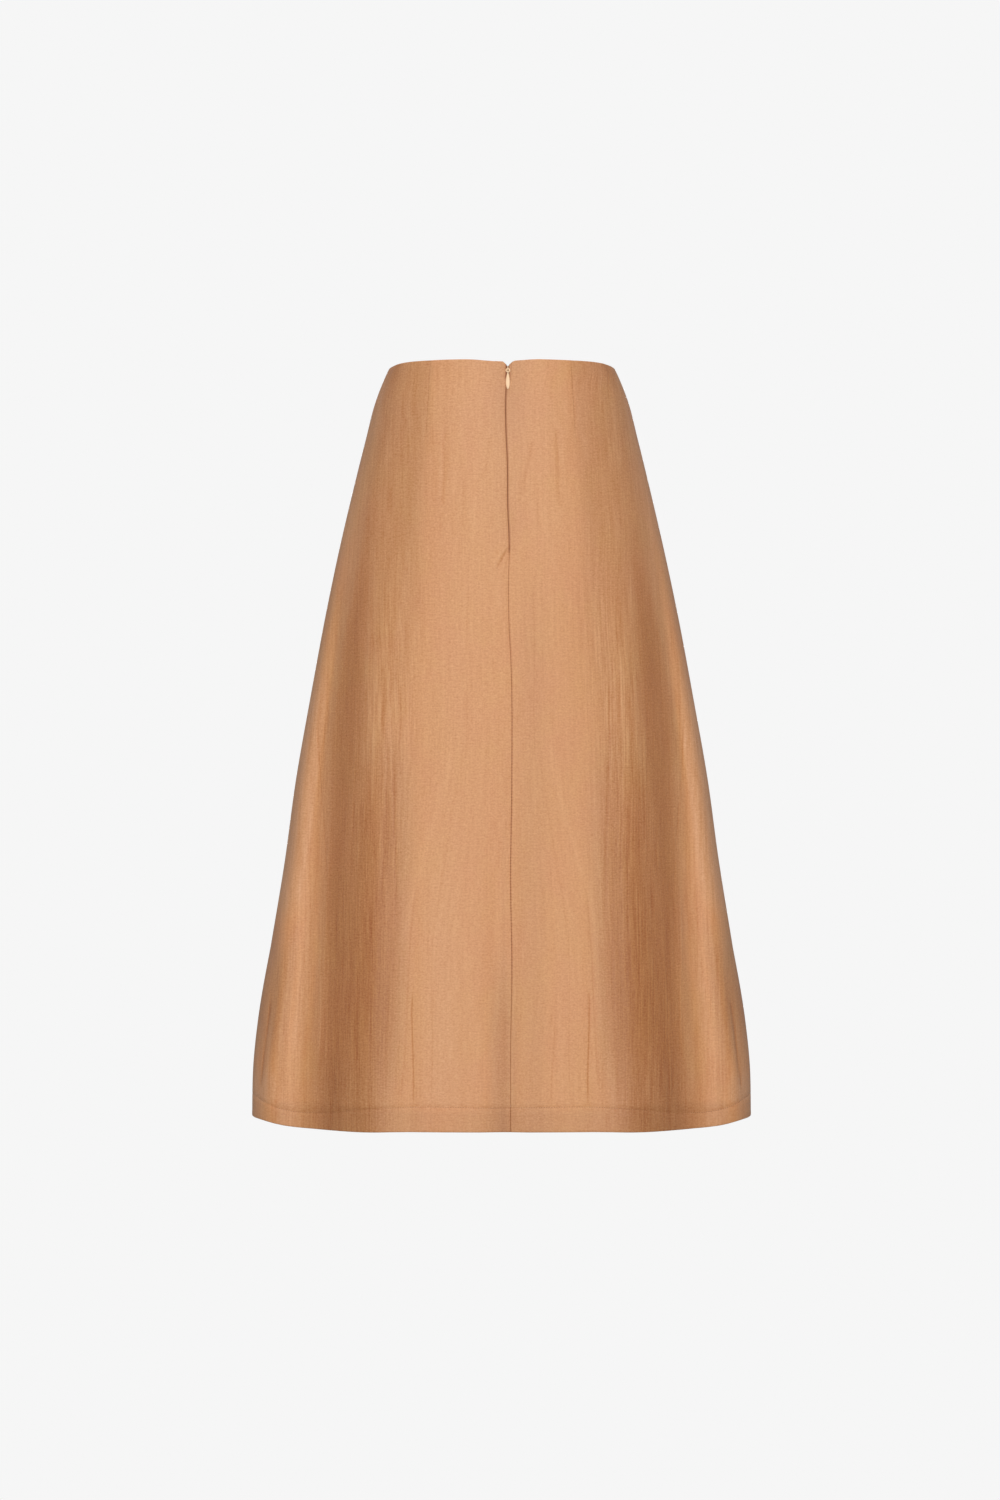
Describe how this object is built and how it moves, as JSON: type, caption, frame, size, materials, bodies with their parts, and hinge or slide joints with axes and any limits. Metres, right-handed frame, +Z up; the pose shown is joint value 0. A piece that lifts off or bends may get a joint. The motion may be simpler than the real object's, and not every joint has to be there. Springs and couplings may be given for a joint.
{
  "type": "a-line skirt",
  "caption": "Calf-length A-line skirt, filled out as if worn: flared hollow tube of plain cloth with a concealed zip at the centre back, waist darts and a turned hem.",
  "frame": {"origin": "centre of the waist opening, level with the highest part of the waist edge", "axes": "+Z up, +X towards the wearer's right, +Y towards the wearer's front, so the back with its zip faces -Y"},
  "size_m": [0.5314, 0.3048, 0.8049],
  "materials": {
    "cloth": "plain weave with slubs and fine crinkles, soft sheen, light tan",
    "zip_tape": "woven tape, tan",
    "zip_coil": "moulded coil, tan",
    "zip_enamel": "smooth pale peach enamel"
  },
  "bodies": {
    "skirt": {"front_panel": "cloth", "back_left_panel": "cloth", "back_right_panel": "cloth", "zip_tape_left": "zip_tape", "zip_tape_right": "zip_tape", "zip_coil": "zip_coil", "zip_slider": "zip_enamel"},
    "pull_tab": {"pull_tab": "zip_enamel"}
  },
  "joints": [
    {"name": "pull_tab_swing", "type": "hinge", "parent": "skirt", "child": "pull_tab", "pos_m": [0.00634, -0.09317, -0.0106], "axis": [-1, 0, 0], "range_deg": [0, 150]}
  ]
}
